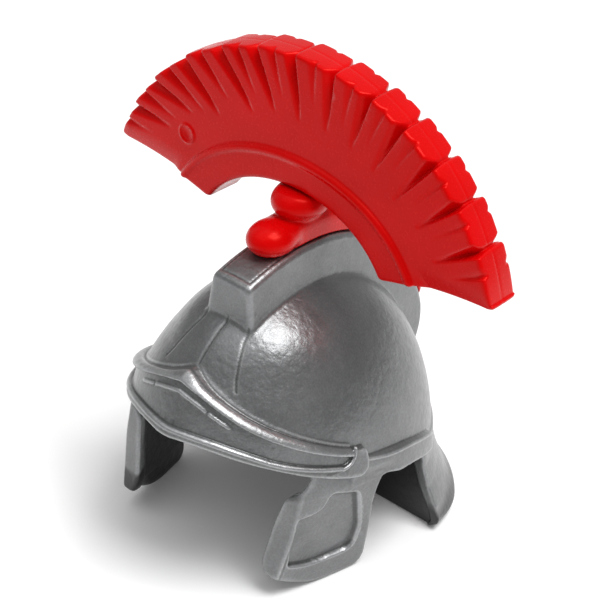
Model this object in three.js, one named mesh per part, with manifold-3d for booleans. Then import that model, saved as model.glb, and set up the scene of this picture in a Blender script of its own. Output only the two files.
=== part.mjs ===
// Moulded plastic centurion helmet for a small play figure: a silver shell and a red crest that runs
// from ear to ear. Millimetres, +Z up, -Y is the front, +X is the wearer's left. The helmet stands on
// its cheek and neck guards at z = 0.
import * as THREE from "three";
import { mergeVertices } from "three/addons/utils/BufferGeometryUtils.js";
import Module from "manifold-3d";

const wasm = await Module();
wasm.setup();

const TAU = Math.PI * 2;
const DEG = Math.PI / 180;

// Driving dimensions of the shell.
const dome = {
  y: -2.6, z: 4.7, halfWidth: 13.05, halfLength: 17.7, height: 21.6, fullness: 2.03, frontFullness: 0.14,
};
const wall = 1.3;
// A distance past every surface of the helmet.
const far = 50;
// How deep a form that sits on the dome is sunk into its wall.
const rooted = 0.8 * wall;
const ridge = {
  height: 3.5, halfWidthTop: 2.15, halfWidthFoot: 2.7, bevel: 0.35, sunk: 0.9,
  frontY: -10.4, startAngle: -34, fullAngle: 61, endAngle: 72,
};
const socket = { radius: 1.1, depth: 2.4, y: -0.6 };
const arch = { rear: 6.3 };
const neck = { front: 5.3, top: 8.6, cornerAngle: 114, cornerSpread: 16 };
const web = { front: 5.7, thickness: 1.05, top: 12.5 };

// Driving dimensions of the crest and of the stem that carries it.
const fan = {
  radius: 21.85, radiusGrowth: 0.55, centreZ: 25.1, frontY: -2.5, backY: 1.4,
  bandInner: 9.5, bandInnerGrowth: 1.75, bandOuter: 12.6, bandOuterGrowth: 2.4, bandProud: 0.32,
  edge: 0.4, grooveReach: 0.5, tipAngle: 18.6, tipAngleInner: 25, tipRadiusInner: 11.1,
};
const stem = { gap: 0.2, barHeight: 2.3, barHalfWidth: 1.75, pegGap: 0.2, pegLength: 1.9, pegRadius: 0.8 };
const foot = { y: -5.1, z: 30.75, halfWidth: 2.15, halfLength: 2.6, halfHeight: 1.6 };
const lobe = { y: -1.4, z: 33.2, halfWidth: 2.5, halfLength: 3.1, halfHeight: 1.7 };
const nub = { angle: 62, radius: 1.2 };

// The underside of the shell's wall, seen from the side: the brow's rim, then the arch over the ear.
const lowerEdge = [
  { y: -20.0, z: 15.9 }, { y: -17.0, z: 15.9 }, { y: -14.6, z: 15.0 }, { y: -11.5, z: 13.7 },
  { y: -7.7, z: 12.2 }, { y: -5.7, z: 11.5 }, { y: -3.1, z: 10.6 }, { y: -0.8, z: 10.3 },
  { y: 2.0, z: 9.5 }, { y: 5.2, z: 8.2 }, { y: arch.rear, z: 7.6 },
];

// The brow at angles from the front: heights of the band's top and foot and of the rim's, then how far
// the band and the plate under it, at its high and low edges, stand out of the dome.
const brow = [
  { angle: 0, top: 21.75, foot: 20.8, rimTop: 16.9, rimFoot: 16.05, band: 2.0, high: 1.5, low: 0.45 },
  { angle: 13, top: 20.7, foot: 20.2, rimTop: 16.95, rimFoot: 16.2, band: 1.7, high: 1.2, low: 0.35 },
  { angle: 25, top: 19.85, foot: 19.25, rimTop: 16.7, rimFoot: 15.9, band: 1.4, high: 1.0, low: 0.3 },
  { angle: 38, top: 18.75, foot: 18.05, rimTop: 16.0, rimFoot: 15.2, band: 1.3, high: 0.8, low: 0.3 },
  { angle: 50, top: 17.65, foot: 16.9, rimTop: 15.0, rimFoot: 14.35, band: 1.25, high: 0.75, low: 0.3 },
  { angle: 62, top: 16.4, foot: 15.65, rimTop: 14.15, rimFoot: 13.25, band: 1.2, high: 0.7, low: 0.35 },
  { angle: 72, top: 15.3, foot: 14.55, rimTop: 13.5, rimFoot: 12.4, band: 1.05, high: 0.65, low: 0.4 },
  { angle: 80, top: 14.5, foot: 13.8, rimTop: 13.0, rimFoot: 11.7, band: 0.9, high: 0.6, low: 0.4 },
];

// The ledge over the ear, at angles from the front.
const ledge = [
  { angle: 80, top: 13.4, foot: 10.9, proud: 0.5 },
  { angle: 92, top: 12.8, foot: 10.5, proud: 0.6 },
  { angle: 104, top: 12.0, foot: 9.8, proud: 0.6 },
  { angle: 116, top: 10.7, foot: 8.5, proud: 0.6 },
  { angle: 126, top: 9.4, foot: 7.6, proud: 0.5 },
];

// How far the neck guard stands out of an upright wall, by height: to the sides, to the rear, and how much
// of that is taken off again where its rim rounds into a front corner.
const neckFlare = [
  { z: 0, side: 3.35, rear: 2.35, corner: 1.8 }, { z: 0.8, side: 3.5, rear: 2.4, corner: 0.9 },
  { z: 1.3, side: 3.2, rear: 1.95, corner: 0.5 }, { z: 2.6, side: 2.3, rear: 1.25, corner: 0 },
  { z: 4.4, side: 1.2, rear: 0.6, corner: 0 }, { z: 6.4, side: 0.35, rear: 0.2, corner: 0 },
  { z: neck.top, side: 0, rear: 0, corner: 0 },
];

// Level sections of a cheek guard: its rear edge, the fold at its front and the edge that faces forward.
const guard = [
  { z: -0.5, rearX: 12.5, foldX: 9.7, foldY: -13.05, edgeX: 7.3, edgeY: -13.5, bow: 1.1 },
  { z: 2.2, rearX: 12.7, foldX: 9.8, foldY: -13.0, edgeX: 7.4, edgeY: -13.4, bow: 1.2 },
  { z: 8.0, rearX: 12.7, foldX: 10.5, foldY: -12.0, edgeX: 8.2, edgeY: -12.5, bow: 1.7 },
  { z: 10.7, rearX: 12.6, foldX: 10.6, foldY: -11.5, edgeX: 8.4, edgeY: -11.9, bow: 1.9 },
  { z: 14.2, rearX: 12.2, foldX: 10.6, foldY: -10.9, edgeX: 8.9, edgeY: -11.2, bow: 2.0 },
];
const guardRearY = -0.1;
const guardWall = 1.2;
const guardSteps = 7;

// A cheek guard's outline seen from the side, from its root at the brow round to the arch over the ear.
const guardOutline = [
  { y: -9.6, z: 14.2 }, { y: -10.9, z: 13.9 }, { y: -11.6, z: 11.0, round: 0.4 },
  { y: -13.2, z: 9.6, round: 0.6 }, { y: -14.3, z: 3.0, round: 0.6 }, { y: -13.4, z: 2.2, round: 0.6 },
  { y: -9.4, z: 0.3, round: 0.8 }, { y: -7.6, z: 0, round: 0.6 }, { y: -3.1, z: 0, round: 1.6 },
  { y: -3.1, z: 8.6, round: 1.6 }, { y: -1.2, z: 10.9, round: 0.8 }, { y: -2.4, z: 12.4 },
];

// The left guard's free edge seen from the front, from its root down to its lowest corner.
const guardEdge = [
  { x: 10.35, z: 16 }, { x: 10.35, z: 11.4, round: 0.8 }, { x: 8.9, z: 10.6, round: 0.9 },
  { x: 8.3, z: 7.5, round: 0.5 }, { x: 7.7, z: 3.4, round: 0.8 }, { x: 8.4, z: 2.1, round: 0.6 },
  { x: 9.6, z: 1.9 }, { x: 9.6, z: -2 }, { x: 20, z: -2 }, { x: 20, z: 16 },
];

// The sunk panel in a cheek guard, seen from the side.
const guardPanel = [
  { y: -11.5, z: 8.75, round: 0.4 }, { y: -10.0, z: 8.85, round: 0.7 }, { y: -8.45, z: 10.5, round: 0.4 },
  { y: -5.4, z: 9.5, round: 0.4 }, { y: -4.6, z: 5.2, round: 0.6 }, { y: -4.9, z: 2.75, round: 0.7 },
  { y: -9.5, z: 2.75, round: 0.7 }, { y: -11.9, z: 3.5, round: 0.4 },
];
const panelDepth = 0.28;

// Blocks of the fan from the wearer's right end to the left one: where each starts, and where its
// small notch lies.
const blocks = [
  { start: 161.4, notch: 157.0 }, { start: 152.3, notch: 147.1 }, { start: 142.0, notch: 135.6 },
  { start: 128.9, notch: 123.2 }, { start: 116.2, notch: 110.8 }, { start: 104.8, notch: 99.6 },
  { start: 93.5, notch: 87.4 }, { start: 82.0, notch: 76.4 }, { start: 71.2, notch: 66.8 },
  { start: 61.2, notch: 56.8 }, { start: 50.6, notch: 46.3 }, { start: 40.3, notch: 36.3 },
  { start: 29.7, notch: 24.7 },
];
const grooveDepth = 0.85;
const notchDepth = 0.28;
const outlineNotch = 0.38;

// A closed geometry as a solid, its shared vertices merged.
function solid(geometry) {
  const bare = geometry.clone();
  bare.deleteAttribute("normal");
  bare.deleteAttribute("uv");
  const merged = mergeVertices(bare, 1e-4);
  return new wasm.Manifold(
    new wasm.Mesh({
      numProp: 3,
      vertProperties: merged.attributes.position.array,
      triVerts: new Uint32Array(merged.index.array),
    }),
  );
}

// A solid as a geometry for a mesh.
function geometryOf(made) {
  const mesh = made.getMesh();
  const geometry = new THREE.BufferGeometry();
  geometry.setAttribute("position", new THREE.BufferAttribute(mesh.vertProperties, 3));
  geometry.setIndex(new THREE.BufferAttribute(mesh.triVerts, 1));
  geometry.computeVertexNormals();
  return geometry;
}

// A closed skin through rings with equal numbers of points, capped with a fan at each end.
function loft(rings) {
  const count = rings[0].length;
  const positions = rings.flat().flatMap((p) => [p.x, p.y, p.z]);
  const index = [];
  for (let i = 0; i + 1 < rings.length; i++) {
    for (let j = 0; j < count; j++) {
      const a = i * count + j;
      const b = i * count + ((j + 1) % count);
      index.push(a, b, a + count, b, b + count, a + count);
    }
  }
  for (const [ring, flip] of [[0, true], [rings.length - 1, false]]) {
    const flat = rings[ring].map((p) => p.clone());
    for (const [a, b, c] of capFaces(flat)) {
      const [i, j, k] = [a, b, c].map((n) => n + ring * count);
      if (flip) index.push(i, k, j);
      else index.push(i, j, k);
    }
  }
  const geometry = new THREE.BufferGeometry();
  geometry.setAttribute("position", new THREE.Float32BufferAttribute(positions, 3));
  geometry.setIndex(index);
  const made = solid(geometry);
  return made.volume() < 0 ? solid(turned(geometry)) : made;
}

// The same geometry with each face turned round.
function turned(geometry) {
  const index = geometry.index.array;
  for (let i = 0; i < index.length; i += 3) {
    const kept = index[i + 1];
    index[i + 1] = index[i + 2];
    index[i + 2] = kept;
  }
  return geometry;
}

// Triangles that fill a nearly flat ring, turned as the ring runs.
function capFaces(ring) {
  const normal = new THREE.Vector3();
  ring.forEach((p, i) => normal.add(p.clone().cross(ring[(i + 1) % ring.length])));
  normal.normalize();
  const side = Math.abs(normal.z) > 0.9 ? new THREE.Vector3(1, 0, 0) : new THREE.Vector3(0, 0, 1);
  const u = side.clone().addScaledVector(normal, -side.dot(normal)).normalize();
  const v = normal.clone().cross(u);
  const flat = ring.map((p) => new THREE.Vector2(p.dot(u), p.dot(v)));
  return THREE.ShapeUtils.triangulateShape(flat, []);
}

// Linear reading of a table's column at a value of its first column.
function read(table, key, column, at) {
  const last = table.length - 1;
  if (at <= table[0][key]) return table[0][column];
  if (at >= table[last][key]) return table[last][column];
  const i = table.findIndex((row) => row[key] > at) - 1;
  const [a, b] = [table[i], table[i + 1]];
  return THREE.MathUtils.mapLinear(at, a[key], b[key], a[column], b[column]);
}

// A point on the dome, or out from it by some distance, at an angle from the front and a height.
function onDome(angle, z, out) {
  const rise = Math.min(Math.abs(z - dome.z) / dome.height, 0.98);
  const shrink = z > dome.z ? Math.sqrt(1 - rise * rise) : 1;
  const x = dome.halfWidth * shrink * Math.sin(angle);
  const y = -dome.halfLength * shrink * Math.cos(angle);
  const normal = new THREE.Vector2(x / dome.halfWidth ** 2, y / dome.halfLength ** 2).normalize();
  return new THREE.Vector3(x + normal.x * out, dome.y + y + normal.y * out, z);
}

// A flat outline with its corners rounded, pushed out to a depth. The keys name the columns it reads.
function plate(points, keys, depth) {
  const shape = new THREE.Shape();
  points.forEach((p, i) => {
    const beside = [points.at(i - 1), p, points[(i + 1) % points.length]];
    const [before, corner, after] = beside.map((q) => new THREE.Vector2(q[keys[0]], q[keys[1]]));
    const into = before.sub(corner).setLength(p.round || 0).add(corner);
    const outOf = after.sub(corner).setLength(p.round || 0).add(corner);
    if (i === 0) shape.moveTo(into.x, into.y);
    else shape.lineTo(into.x, into.y);
    if (p.round) shape.quadraticCurveTo(corner.x, corner.y, outOf.x, outOf.y);
  });
  return new THREE.ExtrudeGeometry(shape, { depth, bevelEnabled: false, curveSegments: 4 });
}

// A plate that is drawn in the side view and reaches from one x to another.
function sidePlate(points, fromX, toX) {
  const made = plate(points, ["y", "z"], toX - fromX);
  made.rotateX(Math.PI / 2);
  made.rotateZ(Math.PI / 2);
  made.translate(fromX, 0, 0);
  return solid(made);
}

// A plate that is drawn in the front view for one side and reaches from one y to another.
function frontPlate(points, side, fromY, toY) {
  const onSide = points.map((p) => ({ ...p, x: p.x * side }));
  const made = plate(onSide, ["x", "z"], toY - fromY);
  made.rotateX(Math.PI / 2);
  made.translate(0, toY, 0);
  return solid(made);
}

function box(x0, x1, y0, y1, z0, z1) {
  const made = new THREE.BoxGeometry(x1 - x0, y1 - y0, z1 - z0);
  made.translate((x0 + x1) / 2, (y0 + y1) / 2, (z0 + z1) / 2);
  return solid(made);
}

function ellipsoid(half, centre, around = 32, up = 18, power = null) {
  const made = new THREE.SphereGeometry(1, around, up);
  made.rotateX(Math.PI / 2);
  if (power) fillOut(made.attributes.position, power);
  made.scale(half.x, half.y, half.z);
  made.translate(centre.x, centre.y, centre.z);
  return solid(made);
}

// Pushes a unit sphere's points out to a fuller egg shape, with a power for each point.
function fillOut(points, power) {
  const p = new THREE.Vector3();
  for (let i = 0; i < points.count; i++) {
    p.fromBufferAttribute(points, i);
    const n = power(p);
    const size = Math.abs(p.x) ** n + Math.abs(p.y) ** n + Math.abs(p.z) ** n;
    p.multiplyScalar(size ** (-1 / n));
    points.setXYZ(i, p.x, p.y, p.z);
  }
}

function uprightPin(radius, y, z0, z1) {
  const made = new THREE.CylinderGeometry(radius, radius, z1 - z0, 20);
  made.rotateX(Math.PI / 2);
  made.translate(0, y, (z0 + z1) / 2);
  return solid(made);
}

// A level oval ring, out from the dome's widest section by distances to the sides and to the rear.
// Toward the neck guard's two front corners it draws in by the corner's distance.
function oval(z, side, rear, corner = 0, count = 56) {
  return Array.from({ length: count }, (_, i) => {
    const angle = (i / count) * TAU;
    const turn = Math.abs(Math.PI - angle) / DEG;
    const past = turn - 180 + neck.cornerAngle + neck.cornerSpread;
    const drawn = corner * THREE.MathUtils.clamp(past / neck.cornerSpread, 0, 1) ** 2;
    const x = (dome.halfWidth + side - drawn) * Math.sin(angle);
    const y = dome.y - (dome.halfLength + rear - drawn) * Math.cos(angle);
    return new THREE.Vector3(x, y, z);
  });
}

// The dome's whole egg shape, or one that lies inside it by some distance.
function crown(inset) {
  const half = new THREE.Vector3(dome.halfWidth - inset, dome.halfLength - inset, dome.height - inset);
  const forward = (p) => THREE.MathUtils.clamp(-2.5 * p.y, 0, 1);
  const high = (p) => THREE.MathUtils.smoothstep(p.z, 0.72, 0.92);
  const power = (p) => dome.fullness + dome.frontFullness * forward(p) * high(p);
  return ellipsoid(half, new THREE.Vector3(0, dome.y, dome.z), 48, 28, power);
}

// The dome above its lower edge.
function makeDome() {
  const whole = crown(0);
  const under = [{ y: arch.rear, z: -far }, { y: -far, z: -far }, { y: -far, z: lowerEdge[0].z }];
  const below = [...lowerEdge, ...under];
  return whole.subtract(sidePlate(below, -far, far)).subtract(box(-far, far, -far, far, -far, dome.z));
}

// The brow: its band, plate and rim, carried round the dome.
function makeBrow() {
  const last = brow[brow.length - 1].angle;
  const steps = 40;
  const rings = [];
  for (let i = 0; i <= steps; i++) {
    const angle = -last + (2 * last * i) / steps;
    const at = (column) => read(brow, "angle", column, Math.abs(angle));
    const [top, bandFoot, rimTop, rimFoot] = [at("top"), at("foot"), at("rimTop"), at("rimFoot")];
    const [band, high, low] = [at("band"), at("high"), at("low")];
    const profile = [
      [top, -rooted], [top, 0.05], [top + 0.1, band * 0.35], [top - 0.05, band * 0.75],
      [(top + bandFoot) / 2, band], [bandFoot, band - 0.1], [bandFoot - 0.15, high],
      [rimTop, low], [rimTop - 0.1, low + 0.3], [rimFoot, low + 0.25], [rimFoot, -rooted],
    ];
    rings.push(profile.map(([z, out]) => onDome(angle * DEG, z, out)));
  }
  return loft(rings);
}

// The ledge over one ear.
function makeLedge(side) {
  const rings = [];
  const steps = 10;
  for (let i = 0; i <= steps; i++) {
    const angle = THREE.MathUtils.lerp(ledge[0].angle, ledge[ledge.length - 1].angle, i / steps);
    const at = (column) => read(ledge, "angle", column, angle);
    const profile = [
      [at("top"), -rooted], [at("top"), 0.0], [at("top") - 0.3, at("proud")],
      [at("foot"), at("proud")], [at("foot"), -rooted],
    ];
    rings.push(profile.map(([z, out]) => onDome(side * angle * DEG, z, out)));
  }
  return loft(rings);
}

// The box-shaped ridge along the crown, or its clearance when it is made larger.
function makeRidge(extra = 0) {
  const rings = [];
  const steps = 26;
  for (let i = 0; i <= steps; i++) {
    const angle = THREE.MathUtils.lerp(ridge.startAngle, ridge.endAngle, i / steps);
    const left = (ridge.endAngle - angle) / (ridge.endAngle - ridge.fullAngle);
    const fade = THREE.MathUtils.clamp(left, 0.02, 1);
    const height = ridge.height * Math.sqrt(fade * (2 - fade)) + extra;
    const y = dome.halfLength * Math.sin(angle * DEG);
    const z = dome.height * Math.cos(angle * DEG);
    const normal = new THREE.Vector2(y / dome.halfLength ** 2, z / dome.height ** 2).normalize();
    const point = (x, out) => new THREE.Vector3(x, dome.y + y + normal.x * out, dome.z + z + normal.y * out);
    const [low, top, bevel] = [ridge.halfWidthFoot + extra, ridge.halfWidthTop + extra, ridge.bevel];
    const root = -ridge.sunk - extra * 4;
    const outline = [[low, root], [low, 0.2], [top, height - bevel], [top - bevel, height]];
    const mirrored = outline.map(([x, out]) => [-x, out]).reverse();
    rings.push([...outline, ...mirrored].map(([x, out]) => point(x, out)));
  }
  return loft(rings);
}

// The flared neck guard as one thick skirt, before it is hollowed, or the space inside it.
function makeNeckSkirt(inset, below) {
  return loft(neckFlare.map((row) => {
    const z = row.z === 0 ? -below : row.z;
    return oval(z, row.side - inset, row.rear - inset, row.corner);
  }));
}

// The level sections of one cheek guard as a bent plate, drawn in at its outer face by some distance.
function guardSheet(side, inset, thickness) {
  return loft(guard.map((row) => {
    const outer = [];
    for (let i = 0; i <= guardSteps; i++) {
      const t = i / guardSteps;
      const x = THREE.MathUtils.lerp(row.rearX, row.foldX, t ** row.bow);
      outer.push(new THREE.Vector2(x, THREE.MathUtils.lerp(guardRearY, row.foldY, t)));
    }
    outer.push(new THREE.Vector2(row.edgeX, row.edgeY));
    const drawnIn = (distance) => outer.map((p, i) => {
      const before = outer[Math.max(i - 1, 0)];
      const after = outer[Math.min(i + 1, outer.length - 1)];
      const along = after.clone().sub(before).normalize();
      return new THREE.Vector2(p.x + along.y * distance, p.y - along.x * distance);
    });
    const inner = drawnIn(inset + thickness);
    inner[inner.length - 1].set(row.edgeX, row.edgeY + inset + thickness);
    const ring = [...(inset ? drawnIn(inset) : outer), ...inner.reverse()];
    return ring.map((p) => new THREE.Vector3(p.x * side, p.y, row.z));
  }));
}

// One cheek guard, cut to its outlines from the side and from the front, with its panel sunk.
function makeGuard(side) {
  const [low, high] = side > 0 ? [0, far] : [-far, 0];
  const [panelLow, panelHigh] = side > 0 ? [guardEdge[3].x, far] : [-far, -guardEdge[3].x];
  const panel = sidePlate(guardPanel, panelLow, panelHigh);
  return guardSheet(side, 0, guardWall)
    .intersect(sidePlate(guardOutline, low, high))
    .intersect(frontPlate(guardEdge, side, -far, 0))
    .subtract(panel.subtract(guardSheet(side, panelDepth, 2 * guardWall)));
}

function makeShell() {
  const behindArch = box(-far, far, neck.front, far, -1, far);
  const outer = makeDome()
    .add(makeNeckSkirt(0, 0).intersect(behindArch))
    .add(makeBrow())
    .add(makeLedge(1))
    .add(makeLedge(-1))
    .add(makeRidge().subtract(box(-far, far, -far, ridge.frontY, 0, far)));
  const insideDome = crown(wall);
  const head = loft([oval(-2, -wall, -wall), oval(dome.z, -wall, -wall)]);
  const insideNeck = makeNeckSkirt(wall, 2).intersect(behindArch);
  const webBlank = box(-far, far, web.front, web.front + web.thickness, 0, web.top);
  const webWall = webBlank.intersect(makeNeckSkirt(wall / 2, 1).add(crown(wall / 2)));
  return outer
    .subtract(insideDome)
    .subtract(head)
    .subtract(insideNeck)
    .add(webWall)
    .add(makeGuard(1))
    .add(makeGuard(-1))
    .subtract(uprightPin(socket.radius, socket.y, ridgeTop(socket.y) - socket.depth, far));
}

// The height of the ridge's top surface at a place along it.
function ridgeTop(y) {
  const length = dome.halfLength + ridge.height;
  return dome.z + (dome.height + ridge.height) * Math.sqrt(1 - ((y - dome.y) / length) ** 2);
}

// The stem: a bar that lies along the ridge, a lobe at its front, another that carries the crest, and
// the pins that hold both ends.
function makeStem() {
  const rings = [];
  const steps = 16;
  const startAngle = -5;
  for (let i = 0; i <= steps; i++) {
    const angle = THREE.MathUtils.lerp(startAngle, nub.angle, i / steps) * DEG;
    const y = dome.halfLength * Math.sin(angle);
    const z = dome.height * Math.cos(angle);
    const normal = new THREE.Vector2(y / dome.halfLength ** 2, z / dome.height ** 2).normalize();
    const low = ridge.height - 0.5;
    const high = ridge.height + stem.gap + stem.barHeight;
    const half = stem.barHalfWidth;
    const outline = [[half, low], [half, high - 0.7], [half - 0.6, high]];
    const mirrored = outline.map(([x, out]) => [-x, out]).reverse();
    const point = (x, out) => new THREE.Vector3(x, dome.y + y + normal.x * out, dome.z + z + normal.y * out);
    rings.push([...outline, ...mirrored].map(([x, out]) => point(x, out)));
  }
  const end = rings[steps][0];
  const tipHalf = new THREE.Vector3(stem.barHalfWidth, nub.radius, nub.radius);
  const tip = ellipsoid(tipHalf, new THREE.Vector3(0, end.y + 0.9, end.z + 0.2), 20, 12);
  const pegFoot = ridgeTop(socket.y) - socket.depth + stem.pegGap;
  const pegTop = ridgeTop(socket.y) + 1;
  const saddle = loft([bandCircle(-dome.halfLength, -stem.gap), bandCircle(dome.halfLength + 5, -stem.gap)]);
  const body = roundLobe(foot)
    .add(roundLobe(lobe))
    .add(loft(rings))
    .add(tip)
    .subtract(makeRidge(stem.gap))
    .intersect(saddle);
  const middle = (fan.frontY + fan.backY) / 2;
  const bandTop = fan.centreZ + fan.bandInner;
  return body
    .add(uprightPin(socket.radius - stem.pegGap, socket.y, pegFoot, pegTop))
    .add(uprightPin(stem.pegRadius, middle, bandTop - 2, bandTop + stem.pegLength - stem.pegGap));
}

// One of the stem's two rounded lobes.
function roundLobe(sizes) {
  const half = new THREE.Vector3(sizes.halfWidth, sizes.halfLength, sizes.halfHeight);
  return ellipsoid(half, new THREE.Vector3(0, sizes.y, sizes.z));
}

// The underside of the crest's band as a ring in the plane of the crest, closed far below.
function bandCircle(y, out) {
  const count = 40;
  return Array.from({ length: count }, (_, i) => {
    const angle = (i / count) * TAU;
    const rise = Math.sin(angle);
    const radius = fan.bandInner + out + fan.bandInnerGrowth * Math.cos(angle) ** 2;
    const z = rise > 0 ? rise * radius : rise * fan.centreZ;
    return new THREE.Vector3(radius * Math.cos(angle), y, fan.centreZ + z);
  });
}

// Rows along the fan: how deep its faces are cut at the rim, and how far the rim itself is cut back.
function fanRows() {
  const end = 180 - fan.tipAngle;
  const rows = [{ angle: end, cut: 0.35, back: 0.3 }, { angle: end - 0.9, cut: 0, back: 0 }];
  blocks.forEach((block, i) => {
    const stop = i + 1 < blocks.length ? blocks[i + 1].start : fan.tipAngle;
    const start = Math.min(block.start, end - 1.2);
    const slope = stop + (block.notch - stop) * 0.5;
    const lastBlock = i + 1 === blocks.length;
    if (i > 0) rows.push({ angle: start, cut: 0, back: 0.08 });
    rows.push({ angle: (start + block.notch) / 2, cut: 0, back: 0 });
    rows.push({ angle: block.notch + 0.7, cut: 0.05, back: 0 });
    rows.push({ angle: block.notch, cut: notchDepth, back: 0.06 });
    rows.push({ angle: block.notch - 0.4, cut: 0, back: 0.02 });
    rows.push({ angle: slope, cut: lastBlock ? 0 : 0.12, back: 0 });
    if (lastBlock) return;
    rows.push({ angle: stop + 1.4, cut: grooveDepth * 0.6, back: 0.12 });
    rows.push({ angle: stop + 0.5, cut: grooveDepth, back: outlineNotch });
  });
  rows.push({ angle: fan.tipAngle + 0.9, cut: 0, back: 0 }, { angle: fan.tipAngle, cut: 0.35, back: 0.3 });
  return rows;
}

// The crest: a pleated fan over a thicker band.
function makeFan() {
  const rings = fanRows().map((row) => {
    const turn = row.angle * DEG;
    const inner = fan.bandInner + fan.bandInnerGrowth * Math.cos(turn) ** 2;
    const band = fan.bandOuter + fan.bandOuterGrowth * Math.cos(turn) ** 2;
    const rim = fan.radius + fan.radiusGrowth * Math.cos(turn) ** 2 - row.back;
    const valley = THREE.MathUtils.lerp(rim, band, fan.grooveReach);
    const faces = [
      [inner, -fan.bandProud], [band, -fan.bandProud], [band + 0.35, 0],
      [valley, row.cut * 0.15], [rim - fan.edge, row.cut], [rim, row.cut + fan.edge],
    ];
    const front = faces.map(([r, cut]) => [r, fan.frontY + cut]);
    const rear = faces.map(([r, cut]) => [r, fan.backY - cut]).reverse();
    return [...front, ...rear].map(([r, y]) => {
      const low = THREE.MathUtils.clamp((fan.radius - r) / (fan.radius - fan.tipRadiusInner), 0, 1);
      const endAngle = THREE.MathUtils.lerp(fan.tipAngle, fan.tipAngleInner, low);
      const angle = (90 + ((row.angle - 90) * (90 - endAngle)) / (90 - fan.tipAngle)) * DEG;
      return new THREE.Vector3(r * Math.cos(angle), y, fan.centreZ + r * Math.sin(angle));
    });
  });
  const middle = (fan.frontY + fan.backY) / 2;
  const bandTop = fan.centreZ + fan.bandInner;
  const pegHole = uprightPin(stem.pegRadius + stem.pegGap, middle, bandTop - 3, bandTop + stem.pegLength);
  return loft(rings).subtract(pegHole);
}

const silver = new THREE.MeshStandardMaterial({ color: 0x8b8e90, roughness: 0.38, metalness: 0.55 });
const red = new THREE.MeshStandardMaterial({ color: 0xd3141a, roughness: 0.32, metalness: 0 });

function mesh(name, made, material) {
  const node = new THREE.Mesh(geometryOf(made), material);
  node.name = name;
  return node;
}

const helmet = new THREE.Group();
helmet.add(
  mesh("helmet_shell", makeShell(), silver),
  mesh("crest_stem", makeStem(), red),
  mesh("crest_fan", makeFan(), red),
);

export default helmet;
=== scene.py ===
import math

import bpy
import numpy as np
from mathutils import Matrix, Vector


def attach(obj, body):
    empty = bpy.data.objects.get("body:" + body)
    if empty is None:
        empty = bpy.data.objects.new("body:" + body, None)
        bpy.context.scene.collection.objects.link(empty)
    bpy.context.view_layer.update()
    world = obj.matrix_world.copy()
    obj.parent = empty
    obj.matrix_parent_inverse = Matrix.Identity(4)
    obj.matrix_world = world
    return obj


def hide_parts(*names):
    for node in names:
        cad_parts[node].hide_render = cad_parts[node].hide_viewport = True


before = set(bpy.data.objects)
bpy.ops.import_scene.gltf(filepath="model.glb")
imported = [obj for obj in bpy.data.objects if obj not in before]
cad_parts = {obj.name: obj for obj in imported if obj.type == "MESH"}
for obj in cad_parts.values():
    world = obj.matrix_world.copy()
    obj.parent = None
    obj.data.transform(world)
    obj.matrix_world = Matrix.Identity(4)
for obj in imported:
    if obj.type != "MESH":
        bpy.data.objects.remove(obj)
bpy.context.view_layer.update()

# Lengths below are in millimetres, in the CAD frame; the meshes are made in metres.
MM = 0.001
STEP = 0.125
FINE_STEP = 0.8 * STEP
TRIANGLE_LIMIT = 190000

# Driving sizes of the shell, which are the CAD's or lie close to them.
DOME_Y, DOME_Z = -2.6, 4.7
DOME_HALF = (13.05, 17.7, 21.6)
# The dome's power, what is added to it on the front, how fast that comes in, and at which share of height.
DOME_POWER, FRONT_POWER = 2.03, 0.14
FRONT_SPREAD, FRONT_RISE = 2.5, (0.72, 0.92)
WALL = 1.3
# How deep the raised forms are rooted in the wall.
ROOT = 0.7 * WALL
NECK_FRONT, NECK_TOP = 5.3, 8.6
# The cross wall between the head space and the neck guard, and how far it stays under the outer skin.
WEB_FRONT, WEB_THICKNESS, WEB_TOP, WEB_SUNK = 5.75, 1.0, 12.4, 0.5
RIDGE_HEIGHT, RIDGE_HALF_TOP, RIDGE_HALF_FOOT, RIDGE_FRONT_Y = 3.5, 2.15, 2.7, -10.4
# The ridge's hump: the angle along the crown where it ends, and over how much it falls.
RIDGE_END, RIDGE_FALL = 73.0, 11.0
# The hair line in the ridge's top face: how far in from its sides and its front, half its width, its depth.
LINE_IN_SIDE, LINE_IN_FRONT = 0.55, 0.75
LINE_HALF, LINE_DEPTH = 0.05, 0.1

# Hair lines in the dome between the ridge's front and the brow, in short straight runs seen from above.
SEAMS = [
    ((0.0, -10.2), (0.0, -13.9)), ((2.4, -10.3), (2.6, -11.2)), ((2.6, -11.2), (3.1, -12.2)),
    ((3.1, -12.2), (3.7, -13.2)), ((3.7, -13.2), (4.1, -13.6)),
]
# None of them goes below this height. Then a hair line's depth and width.
SEAM_FOOT_Z = 18.0
HAIR_DEPTH, HAIR_WIDTH = 0.08, 0.11

# Driving sizes of the crest and its stem.
FAN_RADIUS, FAN_GROWTH, FAN_Z = 21.85, 0.72, 25.1
FAN_FRONT, FAN_BACK = -2.5, 1.4
BAND_INNER, BAND_INNER_GROWTH = 9.5, 1.75
BAND_OUTER, BAND_OUTER_GROWTH = 12.6, 2.4
BAND_PROUD = 0.3
TIP_ANGLE, TIP_ANGLE_INNER, TIP_RADIUS_INNER = 16.9, 24.6, 11.1

# The underside of the shell's wall seen from the side: (y, z).
LOWER_EDGE = np.array([
    (-20.0, 15.9), (-17.0, 15.9), (-14.6, 15.0), (-11.5, 13.7), (-7.7, 12.2), (-5.7, 11.5),
    (-3.1, 10.6), (-0.8, 10.3), (2.0, 9.5), (4.4, 8.5), (5.2, 7.6), (6.3, 5.0),
])
# Behind this the dome's wall isn't cut, and runs down inside the neck guard.
UNCUT_Y = 6.2

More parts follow.
